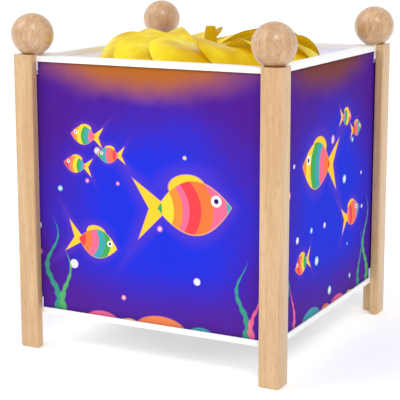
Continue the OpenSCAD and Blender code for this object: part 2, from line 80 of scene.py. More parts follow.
WHITE_LIGHT = (1.0, 1.0, 1.0, 1.0)
NO_LIGHT = (0.0, 0.0, 0.0, 1.0)
PINK = paint(232, 104, 142)
HONEY = paint(246, 200, 74)
ORANGE = paint(240, 136, 66)
TEAL = paint(70, 160, 170)
WEED_GREEN = paint(56, 156, 120)
LEAF_GREEN = paint(86, 176, 92)


# ---- Settings ----

def length_property(name, description, default):
    return FloatProperty(name=name, description=description, default=default, min=0.0, unit="LENGTH", precision=5)


def angle_property(name, description, degrees):
    return FloatProperty(name=name, description=description, default=math.radians(degrees), subtype="ANGLE")


def colour_property(name, description, default):
    return FloatVectorProperty(
        name=name, description=description, default=default, size=4, min=0.0, max=1.0, subtype="COLOR")


class CaseShapes(bpy.types.PropertyGroup):
    """Roundings and waves of the case that its solids leave out"""
    edge_radius: length_property("Post edge", "Radius of the long edges of a post", 1.0 * MM)
    rebate_radius: length_property("Rebate edge", "Radius of the edges of a post's rebate", 0.35 * MM)
    foot_radius: length_property("Post foot", "Rounding of the lower end of a post", 1.3 * MM)
    head_radius: length_property("Post head", "Rounding of the upper end of a post", 0.4 * MM)
    ball_cut: length_property("Ball seat", "Height of the cap cut off a ball to seat it", 1.2 * MM)
    moulded_edge: length_property("Moulded edge", "Rounding of the edges of moulded pieces", 0.3 * MM)
    film_bow: length_property("Panel bow", "How far a panel bows inwards at its middle", 0.35 * MM)
    film_wave: length_property("Panel wave", "Height of the shallow waves in a panel", 0.08 * MM)


class RotorShapes(bpy.types.PropertyGroup):
    """The turbine and its hub, as in the solids but on a finer grid"""
    vane_count: IntProperty(name="Vanes", description="Number of vanes", default=12, min=3)
    vane_thickness: length_property("Vane thickness", "Thickness of a vane", 0.9 * MM)
    vane_rise: length_property("Vane rise", "Height of a vane's open edge above its closed one, at the crest", 7 * MM)
    back_rise: length_property("Back rise", "Height of a closed edge above its root, at the crest", 5.5 * MM)
    crest_radius: length_property("Crest radius", "Radius at which a vane is highest", 48 * MM)
    vane_wrinkle: length_property("Vane wrinkle", "Height of the shallow waves in a vane", 0.5 * MM)
    vane_lean: angle_property("Vane lean", "Angle by which an open edge leans ahead at its crest", 12)
    first_vane: angle_property("First vane", "Direction of the first vane's open edge", -59)
    vane_slit: angle_property("Slit", "Angle between a closed edge and the next open edge", 2)
    bead_radius: length_property("Bead", "Radius of the bead along a closed edge", 0.75 * MM)
    disc_radius: length_property("Disc radius", "Radius of the flat disc round the hub", 13 * MM)
    disc_rise: length_property("Disc rise", "Height of the disc's underside above the rim", 6 * MM)
    disc_thickness: length_property("Disc thickness", "Thickness of the disc", 1.2 * MM)
    rim_height: length_property("Rim height", "Height of the turbine's rim", 10 * MM)
    rim_thickness: length_property("Rim thickness", "Thickness of the turbine's rim", 1.2 * MM)
    hub_radius: length_property("Hub radius", "Radius of the hub where it meets the disc", 4 * MM)
    hub_flange: length_property("Hub flange", "Radius of the hub's flange under the disc", 5.8 * MM)
    hub_top: length_property("Hub top", "Radius of the hub at its top", 2.85 * MM)


class LampColours(bpy.types.PropertyGroup):
    """Colours of the woods, plastics and prints"""
    beech_pale: colour_property("Beech, pale", "Pale wood between the bands", paint(211, 174, 128))
    beech_deep: colour_property("Beech, deep", "Deeper bands of the wood", paint(196, 155, 106))
    beech_fleck: colour_property("Beech, flecks", "Short dark flecks of the wood", paint(150, 106, 66))
    ball_pale: colour_property("Ball, pale", "Pale wood of the balls", paint(208, 170, 128))
    ball_deep: colour_property("Ball, deep", "Deeper bands of the balls", paint(184, 141, 97))
    ball_fleck: colour_property("Ball, flecks", "Short dark flecks of the balls", paint(120, 80, 48))
    white: colour_property("Moulded white", "White of the frame and the tray", paint(244, 244, 243))
    yellow: colour_property("Turbine yellow", "Yellow of the turbine", paint(224, 204, 44))
    # The turbine gold also paints the shade in the vanes' valleys. The turbine glow is a painted glow that the vanes'
    # undersides emit.
    gold: colour_property("Turbine gold", "Deeper yellow that drifts over the turbine", paint(192, 152, 2))
    lip: colour_property("Turbine lip", "Yellow of the cut edge of a vane", paint(140, 112, 6))
    under_glow: colour_property("Turbine glow", "Light that the vanes pass to their undersides", paint(226, 180, 4))
    water_bright: colour_property("Print, middle", "Bright blue in the middle of a panel", paint(32, 48, 208))
    water_edge: colour_property("Print, sides", "Violet at the sides of a panel", paint(74, 30, 138))
    water_low: colour_property("Print, foot", "Purple at the foot of a panel", paint(80, 38, 142))
    # The two glow colours are painted light: the yellow turbine glowing through the film, browner on the side panels.
    glow: colour_property("Print, glow", "Warm glow under the top edge of the front panel", paint(176, 100, 24))
    side_glow: colour_property("Print, side glow", "Browner glow on the side panels", paint(118, 64, 50))


class StageSettings(bpy.types.PropertyGroup):
    """Camera, floor and light"""
    azimuth: angle_property("Azimuth", "Turn of the camera from the front towards the right", 27.2)
    elevation: angle_property("Elevation", "Tilt of the camera down", 10.8)
    distance: length_property("Distance", "Distance of the camera from the lamp's axis", 0.7655)
    aim_side: FloatProperty(
        name="Aim, sideways", description="How far to the right the camera's axis passes the lamp's axis",
        default=-2.1 * MM, unit="LENGTH")
    aim_height: length_property("Aim, height", "Height at which the camera's axis passes the lamp's axis", 0.0951)
    focal_pixels: FloatProperty(
        name="Focal length", description="Focal length in four-hundredths of the picture's width", default=1275.5)
    lens_shift: FloatVectorProperty(
        name="Lens shift", description="Shift of the picture, in its own widths", default=(-0.0175, -0.0625), size=2)
    floor_radius: length_property("Floor radius", "Radius of the pale floor", 8.0)
    floor_glow: FloatProperty(name="Floor glow", description="Even light that the pale floor adds", default=0.18)
    room_light: FloatProperty(name="Room light", description="Strength of the even white room", default=0.8)
    key_power: FloatProperty(name="Key light", description="Power of the large front light", default=46, unit="POWER")
    top_power: FloatProperty(
        name="Top light", description="Power of the light over the left side", default=44, unit="POWER")


# ---- Shader nodes ----

VECTOR_SOCKETS = {"Vector", "Place", "Centre", "Size", "Root"}
COLOUR_SOCKETS = {"Color", "Pale", "Deep", "Fleck", "Base", "Shade", "Tarnish", "Bright", "Edge", "Low", "Glow"}


def socket_kind(name):
    """The kind of a group's socket follows from its name."""
    if name in VECTOR_SOCKETS:
        return "NodeSocketVector"
    return "NodeSocketColor" if name in COLOUR_SOCKETS else "NodeSocketFloat"


class Wiring:
    """Adds nodes to one tree and joins them. What feeds a socket is another node's output or a plain value."""

    def __init__(self, tree):
        self.tree = tree

    def add(self, kind, feeds=None, **settings):
        node = self.tree.nodes.new(kind if kind.startswith("NodeGroup") else "ShaderNode" + kind)
        for name, value in settings.items():
            setattr(node, name, value)
        for name, value in (feeds or {}).items():
            self.feed(node.inputs[name], value)
        return node

    def feed(self, socket, value):
        if isinstance(value, bpy.types.NodeSocket):
            self.tree.links.new(value, socket)
        else:
            socket.default_value = value

    def filler(self, node, whole):
        """A call that feeds a node's inputs by name, with their spaces as underscores, and returns the whole."""
        def fill(**values):
            for name, value in values.items():
                self.feed(node.inputs[name.replace("_", " ")], value)
            return whole

        return fill

    def maths(self, operation, *values):
        return self.add("Math", dict(enumerate(values)), operation=operation).outputs[0]

    def plus(self, first, second):
        return self.maths("ADD", first, second)

    def minus(self, first, second):
        return self.maths("SUBTRACT", first, second)

    def times(self, first, second):
        return self.maths("MULTIPLY", first, second)

    def line(self, value, slope, start):
        """slope times value, plus start."""
        return self.maths("MULTIPLY_ADD", value, slope, start)

    def vectors(self, operation, first, second):
        return self.add("VectorMath", {0: first, 1: second}, operation=operation).outputs[0]

    def stretched(self, vector, share):
        """A place whose Z counts for only a share, so that a pattern on it runs along Z."""
        return self.vectors("MULTIPLY", vector, (1, 1, share))

    def reach(self, place, centre, size=(1, 1, 1)):
        """How far a place lies from a centre, in half-sizes."""
        away = self.vectors("DIVIDE", self.vectors("SUBTRACT", place, centre), size)
        return self.add("VectorMath", {0: away}, operation="LENGTH").outputs[1]

    def noise(self, vector, scale, detail=2.0, roughness=0.5, distortion=0.0):
        return self.add("TexNoise", {
            "Vector": vector, "Scale": scale, "Detail": detail, "Roughness": roughness,
            "Distortion": distortion}).outputs[0]

    def step(self, value, low, high, to_low=0.0, to_high=1.0):
        """A smooth step of value, from to_low at low to to_high at high."""
        return self.add("MapRange", {
            "Value": value, "From Min": low, "From Max": high, "To Min": to_low, "To Max": to_high},
            interpolation_type="SMOOTHSTEP").outputs[0]

    def mix(self, share, first, second):
        node = self.add("Mix", data_type="RGBA")
        for socket, value in zip((node.inputs[0], node.inputs[6], node.inputs[7]), (share, first, second)):
            self.feed(socket, value)
        return node.outputs[2]

    def bands(self, value, stops):
        """Plain bands of colour: each stop's colour holds from its place to the next stop."""
        node = self.add("ValToRGB", {0: value})
        scale = node.color_ramp
        scale.interpolation = "CONSTANT"
        scale.elements[0].position, scale.elements[0].color = stops[0]
        scale.elements[1].position, scale.elements[1].color = stops[-1]
        for place, colour in stops[1:-1]:
            scale.elements.new(place).color = colour
        return node.outputs[0]

    def split(self, vector):
        return self.add("SeparateXYZ", {0: vector}).outputs

    def join(self, x, y, z=0.0):
        return self.add("CombineXYZ", {0: x, 1: y, 2: z}).outputs[0]

    def place(self):
        return self.add("TexCoord").outputs["Object"]

    def attribute(self, name, output):
        return self.add("Attribute", attribute_name=name).outputs[output]

    def bump(self, height, strength, depth):
        return self.add("Bump", {"Strength": strength, "Distance": depth, "Height": height}).outputs[0]

    def filled(self, tree, feeds):
        node = self.add("Group", node_tree=tree)
        for name, value in feeds.items():
            self.feed(node.inputs[name], value)
        return node.outputs


def shared_group(name, takes, gives):
    """An empty node group with named sockets. Returns its wiring, its inputs, and a call that feeds its outputs and
    returns the group."""
    tree = bpy.data.node_groups.new(name, "ShaderNodeTree")
    for side, sockets in (("INPUT", takes), ("OUTPUT", gives)):
        for socket in sockets.split():
            tree.interface.new_socket(name=socket, in_out=side, socket_type=socket_kind(socket))
    w = Wiring(tree)
    return w, w.add("NodeGroupInput").outputs, w.filler(w.add("NodeGroupOutput"), tree)


@cache
def beech_grain():
    """Beech: broad bands along Z, fine fibres, and the short dark flecks of the wood."""
    w, given, give = shared_group("Beech Grain", "Vector Pale Deep Fleck Marks", "Color Roughness Height")
    bands = w.noise(w.stretched(given["Vector"], 0.05), 190, 3, 0.55, 0.8)
    fibres = w.noise(w.stretched(given["Vector"], 0.03), 1500, 3, 0.6)
    flecks = w.step(w.noise(w.stretched(given["Vector"], 0.1), 2100, 1, 0.4), 0.56, 0.68)
    tone = w.plus(w.times(bands, 0.5), w.times(fibres, 0.5))
    wood = w.mix(w.step(tone, 0.4, 0.6), given["Pale"], given["Deep"])
    return give(
        Color=w.mix(w.times(flecks, given["Marks"]), wood, given["Fleck"]),
        Roughness=w.line(fibres, 0.25, 0.34),
        Height=w.minus(w.times(fibres, 0.5), flecks))


@cache
def moulded_skin():
    """Moulded plastic: slow drifts of tone, a fine grain of gloss, and the faint unevenness of a cooled sheet."""
    w, given, give = shared_group("Moulded Skin", "Vector Base Shade Gloss Grain", "Color Roughness Height")
    drift = w.noise(given["Vector"], 38)
    grain = w.noise(given["Vector"], given["Grain"], 3, 0.6)
    return give(
        Color=w.mix(w.step(drift, 0.35, 0.75), given["Base"], given["Shade"]),
        Roughness=w.line(grain, 0.16, given["Gloss"]),
        Height=w.plus(w.times(drift, 0.6), w.times(grain, 0.4)))


@cache
def drawn_metal():
    """Drawn or plated metal: fine streaks along Z and a slow tarnish."""
    w, given, give = shared_group("Drawn Metal", "Vector Base Tarnish Gloss", "Color Roughness Height")
    streaks = w.noise(w.stretched(given["Vector"], 0.05), 4200, 2, 0.6)
    stain = w.noise(given["Vector"], 150, 3, 0.6)
    return give(
        Color=w.mix(w.step(stain, 0.45, 0.8), given["Base"], given["Tarnish"]),
        Roughness=w.line(streaks, 0.2, given["Gloss"]),
        Height=streaks)


# The prints are drawn in millimetres: X along the panels, Y up.

@cache
def print_water():
    """The ground of a print: bright in the middle, violet to the sides and the top, purple at the foot, with a
    painted warm glow under the top edge that stands in for the yellow turbine glowing through the film. Each part is
    a smooth step of the distance from its middle, in its own half-widths."""
    w, given, give = shared_group("Print Water", "Place Bright Edge Low Glow", "Color")
    cloud = w.line(w.noise(given["Place"], 0.028, 3, 0.55), 0.5, -0.25)
    _, height, _ = w.split(given["Place"])
    from_middle = w.plus(w.reach(given["Place"], (5, 86, 0), (82, 66, 1)), cloud)
    from_top = w.plus(w.reach(given["Place"], (0, 172, 0), (84, 27, 1)), cloud)
    ground = w.mix(w.step(from_middle, 0.35, 1.15), given["Bright"], given["Edge"])
    ground = w.mix(w.step(w.line(cloud, 26, height), 16, 56, 0.85, 0.0), ground, given["Low"])
    return give(Color=w.mix(w.step(from_top, 0.3, 1.05, 0.95, 0.0), ground, given["Glow"]))


@cache
def print_fish():
    """A striped fish, nose towards +X, in its own half-lengths. Its body reaches 0.56 (1 - a^2) up and down, where a
    runs from -1 to 1 along it; its tail is a notched wedge, and its fin is an ellipse on its back."""
    w, given, give = shared_group("Print Fish", "Place Centre Size Turn Shift", "Color Mask Halo")
    facing = w.add("VectorRotate", {
        "Vector": w.vectors("SUBTRACT", given["Place"], given["Centre"]), "Angle": given["Turn"]},
        rotation_type="Z_AXIS").outputs[0]
    own = w.vectors("DIVIDE", facing, given["Size"])
    x, y, _ = w.split(own)
    off = w.maths("ABSOLUTE", y)
    along = w.line(x, 1.17, -0.117)
    body = w.minus(w.line(w.times(along, along), -0.56, 0.56), off)
    wedge, notch = w.minus(w.line(x, -0.8, -0.37), off), w.plus(w.line(off, 0.5, 0.94), x)
    fin = w.line(w.reach(own, (-0.02, 0.42, 0), (0.42, 0.26, 1)), -0.26, 0.26)
    shape = w.maths("MAXIMUM", body, w.maths("MAXIMUM", w.maths("MINIMUM", wedge, notch), fin))
    curve = w.plus(w.line(x, 0.5, given["Shift"]), w.times(w.times(y, y), 0.35))
    stripes = w.bands(w.maths("FRACT", curve), [
        (0.0, paint(224, 66, 74)), (0.13, paint(238, 116, 62)), (0.27, paint(236, 104, 140)),
        (0.42, paint(62, 160, 168)), (0.56, paint(70, 160, 84)), (0.68, paint(246, 206, 60)),
        (0.82, paint(240, 138, 56)), (0.92, paint(236, 104, 140))])
    coat = w.mix(w.step(body, 0.0, 0.03), paint(246, 196, 52), stripes)
    from_eye = w.reach(own, (0.62, 0.13, 0))
    for radius, colour in ((0.115, paint(250, 246, 240)), (0.055, paint(40, 30, 90))):
        coat = w.mix(w.step(from_eye, radius - 0.012, radius + 0.012, 1.0, 0.0), coat, colour)
    return give(Color=coat, Mask=w.step(shape, -0.02, 0.02), Halo=w.step(shape, -0.4, 0.0))


@cache
def print_weed():
    """A strand of weed: its middle sways as a sine of the height, and it narrows towards its tip."""
    w, given, give = shared_group("Print Weed", "Place Root Height Width Sway", "Mask")
    x, y, _ = w.split(w.vectors("SUBTRACT", given["Place"], given["Root"]))
    share = w.maths("DIVIDE", y, given["Height"])
    middle = w.times(w.maths("SINE", w.times(y, 0.16)), given["Sway"])
    frill = w.line(w.maths("SINE", w.times(y, 1.1)), 0.22, 1.0)
    half_width = w.times(w.minus(1.0, share), w.times(given["Width"], frill))
    inside = w.minus(half_width, w.maths("ABSOLUTE", w.minus(x, middle)))
    return give(Mask=w.step(inside, -0.25, 0.25))


@cache
def print_bubbles():
    """Scattered bubbles: one in each cell of a Voronoi pattern, its size and colour from the cell's own number. Half
    of the cells stay empty, and a bubble is paler inside its ring."""
    w, given, give = shared_group("Print Bubbles", "Place Pitch", "Color Mask")
    cell = w.add("TexVoronoi", {
        "Vector": w.vectors("DIVIDE", given["Place"], w.join(given["Pitch"], given["Pitch"], 1.0)),
        "Scale": 1.0, "Randomness": 0.85}, voronoi_dimensions="2D")
    first, second, _ = w.split(cell.outputs["Color"])
    radius = w.times(w.line(first, 0.1, 0.045), w.maths("GREATER_THAN", second, 0.5))
    inside = w.minus(radius, cell.outputs["Distance"])
    tint = w.bands(second, [
        (0.0, paint(244, 236, 246)), (0.6, paint(120, 200, 214)), (0.72, paint(244, 216, 120)),
        (0.84, paint(238, 128, 156)), (1.0, paint(244, 236, 246))])
    core = w.mix(w.step(inside, 0.03, 0.05), tint, paint(252, 246, 250))
    return give(Color=core, Mask=w.step(inside, -0.008, 0.008))


# ---- Materials ----

def colours():
    return bpy.context.scene.lamp_colours


def new_material(name):
    """A material with one shader. Returns its wiring, and a call that feeds the shader and returns the material."""
    material = bpy.data.materials.new(name)
    material.use_nodes = True
    material.node_tree.nodes.clear()
    w = Wiring(material.node_tree)
    shader = w.add("BsdfPrincipled")
    w.feed(w.add("OutputMaterial").inputs["Surface"], shader.outputs[0])
    return w, w.filler(shader, material)


def grouped_material(name, tree, feeds, strength, depth, **fixed):
    """A material with its colour, roughness and bump from one shared group. What is fixed goes on the shader."""
    w, give = new_material(name)
    given = w.filled(tree, {"Vector": w.place(), **feeds})
    return give(
        Base_Color=given["Color"], Roughness=given["Roughness"],
        Normal=w.bump(given["Height"], strength, depth), **fixed)


def beech(name, pale, deep, fleck, marks, coat, coat_roughness):
    return grouped_material(
        name, beech_grain(), {"Pale": pale, "Deep": deep, "Fleck": fleck, "Marks": marks}, 0.35, 0.05 * MM,
        Coat_Weight=coat, Coat_Roughness=coat_roughness)


def moulded(name, base, shade, gloss, grain, strength=0.2, **fixed):
    return grouped_material(name, moulded_skin(), {
        "Base": base, "Shade": shade, "Gloss": gloss, "Grain": grain}, strength, 0.05 * MM, **fixed)


def metal(name, base, tarnish, gloss):
    return grouped_material(name, drawn_metal(), {
        "Base": base, "Tarnish": tarnish, "Gloss": gloss}, 0.25, 0.03 * MM, Metallic=1.0)


@cache
def post_beech():
    c = colours()
    return beech("post_beech", c.beech_pale, c.beech_deep, c.beech_fleck, 0.26, 0.7, 0.28)


@cache
def ball_beech():
    c = colours()
    return beech("ball_beech", c.ball_pale, c.ball_deep, c.ball_fleck, 0.42, 1.0, 0.27)


@cache
def frame_white():
    return moulded("frame_white", colours().white, paint(238, 239, 240), 0.34, 1800)


@cache
def turbine_yellow():
    """The whole turbine emits a painted glow, so that its undersides are gold and not dark: the undersides glow in
    the turbine glow colour, the rest with a darkened share of its own colour. The attribute fold runs from 0 at a
    vane's open edge to 1 at its closed edge, where the colour turns gold as painted shade in the valley under the
    next vane, and is below 0 on the cut lip, which takes the darker lip colour. On the undersides it runs from 2 to
    3."""
    w, give = new_material("turbine_yellow")
    c = colours()
    skin = w.filled(moulded_skin(), {
        "Vector": w.place(), "Base": c.yellow, "Shade": c.gold, "Gloss": 0.18, "Grain": 230})
    fold = w.attribute("fold", "Fac")
    # Random mottle plus fold, so the gold deepens towards each closed edge as painted shade in the valley under the
    # next vane.
    mottle_and_valley_shade = w.line(w.noise(w.place(), 90, 3, 0.6), 0.9, fold)
    tone = w.mix(w.step(mottle_and_valley_shade, 0.75, 1.4, 0.0, 0.9), skin["Color"], c.gold)
    tone = w.mix(w.step(fold, -0.4, -0.05, 0.75, 0.0), tone, c.lip)
    # A painted glow for all but the undersides: 45 % of their own colour, emitted.
    above = w.mix(0.55, tone, NO_LIGHT)
    return give(
        Base_Color=tone, Roughness=skin["Roughness"], Normal=w.bump(skin["Height"], 0.9, 1.3 * MM),
        Specular_IOR_Level=0.05, Emission_Color=w.mix(w.step(fold, 1.4, 1.6), above, c.under_glow),
        Emission_Strength=0.42)


@cache
def hub_yellow():
    gold = colours().gold
    # The hub emits a faint painted glow of its gold.
    return moulded("hub_yellow", gold, paint(176, 136, 2), 0.3, 900, Specular_IOR_Level=0.06, Emission_Color=gold,
                   Emission_Strength=0.08)


@cache
def hoop_yellow():
    return moulded("hoop_yellow", colours().yellow, colours().gold, 0.3, 1500)


@cache
def holder_ceramic():
    return moulded("holder_ceramic", paint(238, 234, 222), paint(228, 222, 206), 0.22, 2600, 0.3, Coat_Weight=0.3)


@cache
def block_nylon():
    return moulded("block_nylon", paint(232, 232, 224), paint(222, 221, 210), 0.42, 2200)


@cache
def sleeve_brown():
    return moulded("sleeve_brown", paint(112, 66, 38), paint(98, 56, 32), 0.45, 3000)


@cache
def sleeve_blue():
    return moulded("sleeve_blue", paint(40, 88, 176), paint(34, 76, 158), 0.45, 3000)


@cache
def grommet_rubber():
    return moulded("grommet_rubber", paint(44, 44, 45), paint(56, 56, 57), 0.55, 2500, 0.4)


@cache
def plated_steel():
    return metal("plated_steel", paint(198, 199, 202), paint(170, 172, 178), 0.2)


@cache
def turned_brass():
    return metal("turned_brass", paint(222, 188, 112), paint(190, 150, 84), 0.2)


@cache
def dark_tungsten():
    return metal("dark_tungsten", paint(120, 118, 116), paint(92, 90, 90), 0.3)


@cache
def bulb_clear():
    """Clear glass with the faint ripples of hand-worked tube."""
    w, give = new_material("bulb_clear")
    ripple = w.noise(w.place(), 160)
    return give(
        Base_Color=w.mix(ripple, paint(250, 252, 253), paint(244, 249, 251)),
        Roughness=w.step(ripple, 0.3, 0.8, 0.0, 0.04), Normal=w.bump(ripple, 0.15, 0.1 * MM),
        Transmission_Weight=1.0, IOR=1.47)


# Fish: middle, half-length, turn in degrees, shift of the stripes. A negative half-length faces it left. The front
# and back panels lie round X = 0 and the sides round X = STRIP_STEP.
FISH = [
    ((26, 92), 27, 6, 0.0), ((-40, 127), -9.5, -4, 0.55), ((-24, 117), -8, 3, 0.25), ((-46, 110), -8.5, -6, 0.7),
    ((-34, 66), 15, -9, 0.35), ((184, 110), -24, -7, 0.45), ((238, 72), 13, 8, 0.1), ((226, 132), 8.5, -5, 0.6),
    ((243, 123), 8, 4, 0.3), ((162, 58), -10, 6, 0.8),
]
# Weed: root, height, half-width, sway and colour.
WEED = [
    ((-63, 20), 58, 2.8, 4, WEED_GREEN), ((-54, 20), 40, 2.4, -3, LEAF_GREEN), ((58, 20), 46, 2.6, 3.5, WEED_GREEN),
    ((66, 20), 32, 2.2, -3, PINK), ((140, 20), 44, 2.6, -4, WEED_GREEN), ((149, 20), 30, 2.2, 3, PINK),
    ((262, 20), 60, 2.8, 4, LEAF_GREEN), ((253, 20), 38, 2.4, -3, WEED_GREEN),
]
# Stones: middle, half-size and colour.
STONES = [
    ((-30, 20), (12, 7), PINK), ((-12, 20), (8, 5), HONEY), ((8, 20), (17, 9), ORANGE), ((33, 20), (9, 6), TEAL),
    ((176, 20), (15, 9), TEAL), ((197, 20), (9, 6), ORANGE), ((216, 20), (13, 7), PINK), ((235, 20), (7, 5), HONEY),
]


def draw_print(w, place, ground):
    """Lays bubbles, weed, stones and fish over the ground of a print, in that order."""
    halo = paint(108, 62, 178)
    bubbles = w.filled(print_bubbles(), {"Place": place, "Pitch": 21.0})
    below_glow = w.step(w.split(place)[1], 116, 136, 0.75, 0.0)
    drawing = w.mix(w.times(bubbles["Mask"], below_glow), ground, bubbles["Color"])
    for root, height, width, sway, colour in WEED:
        strand = w.filled(print_weed(), {
            "Place": place, "Root": (*root, 0), "Height": height, "Width": width, "Sway": sway})
        drawing = w.mix(w.times(strand["Mask"], 0.85), drawing, colour)
    for centre, size, colour in STONES:
        stone = w.step(w.reach(place, (*centre, 0), (*size, 1)), 0.93, 1.03, 0.9, 0.0)
        drawing = w.mix(stone, drawing, colour)
    for centre, half_length, turn, shift in FISH:
        fish = w.filled(print_fish(), {
            "Place": place, "Centre": (*centre, 0), "Size": (half_length, abs(half_length), 1),
            "Turn": math.radians(-turn), "Shift": shift})
        drawing = w.mix(w.times(fish["Halo"], 0.35), drawing, halo)
        drawing = w.mix(fish["Mask"], drawing, fish["Color"])
    return drawing


def print_ground(w, own, up, glow):
    """The ground of a panel's print, from how far a place lies from the panel's middle and above the table."""
    c = colours()
    return w.filled(print_water(), {
        "Place": w.join(own, up), "Bright": c.water_bright, "Edge": c.water_edge, "Low": c.water_low,
        "Glow": glow})["Color"]


@cache
def panel_print():
    """The printed film of the case. The attribute print_place holds the place on the strip, in millimetres, and how
    far it lies from the middle of its own panel."""
    w, give = new_material("panel_print")
    c = colours()
    along, up, own = w.split(w.attribute("print_place", "Vector"))
    on_side = w.step(along, STRIP_STEP / 2 - 10, STRIP_STEP / 2 + 10)
    # The glow laid into the ground here is painted light, browner on the side panels.
    drawing = draw_print(w, w.join(along, up), print_ground(w, own, up, w.mix(on_side, c.glow, c.side_glow)))
    soft = w.noise(w.place(), 900)
    # The print emits a faint painted glow of its own colour.
    return give(
        Base_Color=drawing, Roughness=w.step(soft, 0.3, 0.7, 0.42, 0.54), Normal=w.bump(soft, 0.12, 0.03 * MM),
        Specular_IOR_Level=0.01, Emission_Color=drawing, Emission_Strength=0.06)


@cache
def panel_back():
    """The unprinted back of a panel's film: near white, with the ground of the print faintly through. It glows with
    the light that the film lets through."""
    w, give = new_material("panel_back")
    _, up, own = w.split(w.attribute("print_place", "Vector"))
    ground = print_ground(w, own, up, colours().glow)
    soft = w.noise(w.place(), 900)
    return give(
        Base_Color=w.mix(0.03, paint(236, 238, 246), ground), Roughness=w.step(soft, 0.3, 0.7, 0.4, 0.5),
        Normal=w.bump(soft, 0.12, 0.03 * MM), Emission_Color=paint(230, 233, 248), Emission_Strength=0.42)


@cache
def drum_print():
    """The film of the drum: pale violet with bubbles, wrapped by the angle round its axis."""
    w, give = new_material("drum_print")
    x, y, z = w.split(w.place())
    place = w.join(w.times(w.maths("ARCTAN2", y, x), DRUM_WRAP), w.times(z, 1 / MM))
    cloud = w.noise(place, 0.03, 3)
    bubbles = w.filled(print_bubbles(), {"Place": place, "Pitch": 17.0})
    ground = w.mix(w.step(cloud, 0.35, 0.65), paint(206, 176, 226), paint(178, 150, 220))
    return give(
        Base_Color=w.mix(w.times(bubbles["Mask"], 0.9), ground, bubbles["Color"]),
        Roughness=w.step(cloud, 0.3, 0.7, 0.3, 0.45), Normal=w.bump(cloud, 0.1, 0.1 * MM))


# ---- Shapes ----

def grid_quads(rows, columns, loop_rows=False, loop_columns=False):
    """The quads of a grid of rows by columns of points, closed over its last row or column where asked."""
    r = np.arange(rows if loop_rows else rows - 1)[:, None]
    c = np.arange(columns if loop_columns else columns - 1)[None, :]
    r2, c2 = (r + 1) % rows, (c + 1) % columns
    return np.stack([r * columns + c, r * columns + c2, r2 * columns + c2, r2 * columns + c], -1).reshape(-1, 4)


def capped_loops(rows, count):
    """The faces of a row of closed loops of points, with a flat face over the first loop and the last."""
    last = (rows - 1) * count
    return grid_quads(rows, count, False, True).tolist() + [list(range(count)), list(range(last, last + count))]


def joined(parts):
    """Several (points, faces) as one."""
    starts = np.cumsum([0] + [len(points) for points, _ in parts])
    faces = [[i + int(start) for i in face] for (_, some), start in zip(parts, starts) for face in some]
    return np.concatenate([points for points, _ in parts]), faces


def unit(rows):
    """Each row of an array, divided by its length."""
    return rows / np.linalg.norm(rows, axis=1, keepdims=True)


def rounded(corners, radii, steps=5):
    """A polygon with round corners. Each arc runs between the points where it meets its two edges: its centre lies
    on the corner's bisector, and its radius turns from one edge's direction to the other's."""
    corners = np.asarray(corners, float)
    radii = np.maximum(np.broadcast_to(radii, len(corners)), 1e-7)[:, None]
    back = unit(np.roll(corners, 1, 0) - corners)
    ahead = unit(np.roll(corners, -1, 0) - corners)
    half = np.arccos(np.clip((back * ahead).sum(1, keepdims=True), -1, 1)) / 2
    centre = corners + unit(back + ahead) * radii / np.sin(half)
    first = (corners + back * radii / np.tan(half) - centre)[:, None]
    last = (corners + ahead * radii / np.tan(half) - centre)[:, None]
    turn = (np.pi - 2 * half)[:, None]
    share = np.linspace(0, 1, steps)[None, :, None]
    arcs = (np.sin((1 - share) * turn) * first + np.sin(share * turn) * last) / np.sin(turn)
    return (centre[:, None] + arcs).reshape(-1, 2)


def turned(profile, sides=96, loop=True):
    """A profile of (radius, height) turned about Z: (radius cos t, radius sin t, height). An open profile starts and
    ends on the axis."""
    profile = np.asarray(profile, float)
    angle = np.linspace(0, 2 * np.pi, sides, endpoint=False)
    points = np.stack([
        profile[:, :1] * np.cos(angle), profile[:, :1] * np.sin(angle),
        np.broadcast_to(profile[:, 1:], (len(profile), sides))], -1)
    return points.reshape(-1, 3), grid_quads(len(profile), sides, loop, True).tolist()


def ring(inner, outer, low, high, edge, steps, sides):
    """A ring about Z with a rectangular section, turned from a profile with rounded corners."""
    return turned(rounded([(inner, low), (outer, low), (outer, high), (inner, high)], edge, steps), sides)


def tube(path, across, radius, sides=20):
    """A circle carried along a path: path + radius (cos t across + sin t up), where up is square to the path and to
    across. Its ends are flat."""
    path = np.asarray(path, float)
    ahead = np.gradient(path, axis=0)
    up = unit(np.cross(ahead, across))
    across = unit(np.cross(up, ahead))
    t = np.linspace(0, 2 * np.pi, sides, endpoint=False)[None, :, None]
    points = path[:, None] + radius * (np.cos(t) * across[:, None] + np.sin(t) * up[:, None])
    return points.reshape(-1, 3), capped_loops(len(path), sides)


def stacked(outlines, heights):
    """Outlines of equal length, one at each height, with flat ends."""
    outlines = np.asarray(outlines)
    rows, count, _ = outlines.shape
    heights = np.broadcast_to(np.asarray(heights)[:, None, None], (rows, count, 1))
    return np.concatenate([outlines, heights], -1).reshape(-1, 3), capped_loops(rows, count)


def finish_piece(piece, material, replaced, body, crease):
    """Shades a piece smooth up to its creases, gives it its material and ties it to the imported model."""
    piece.data.shade_smooth()
    piece.data.set_sharp_from_angle(angle=math.radians(crease))
    piece.data.materials.clear()
    piece.data.materials.append(material)
    bpy.context.collection.objects.link(piece)
    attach(piece, body)
    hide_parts(*replaced)
    return piece


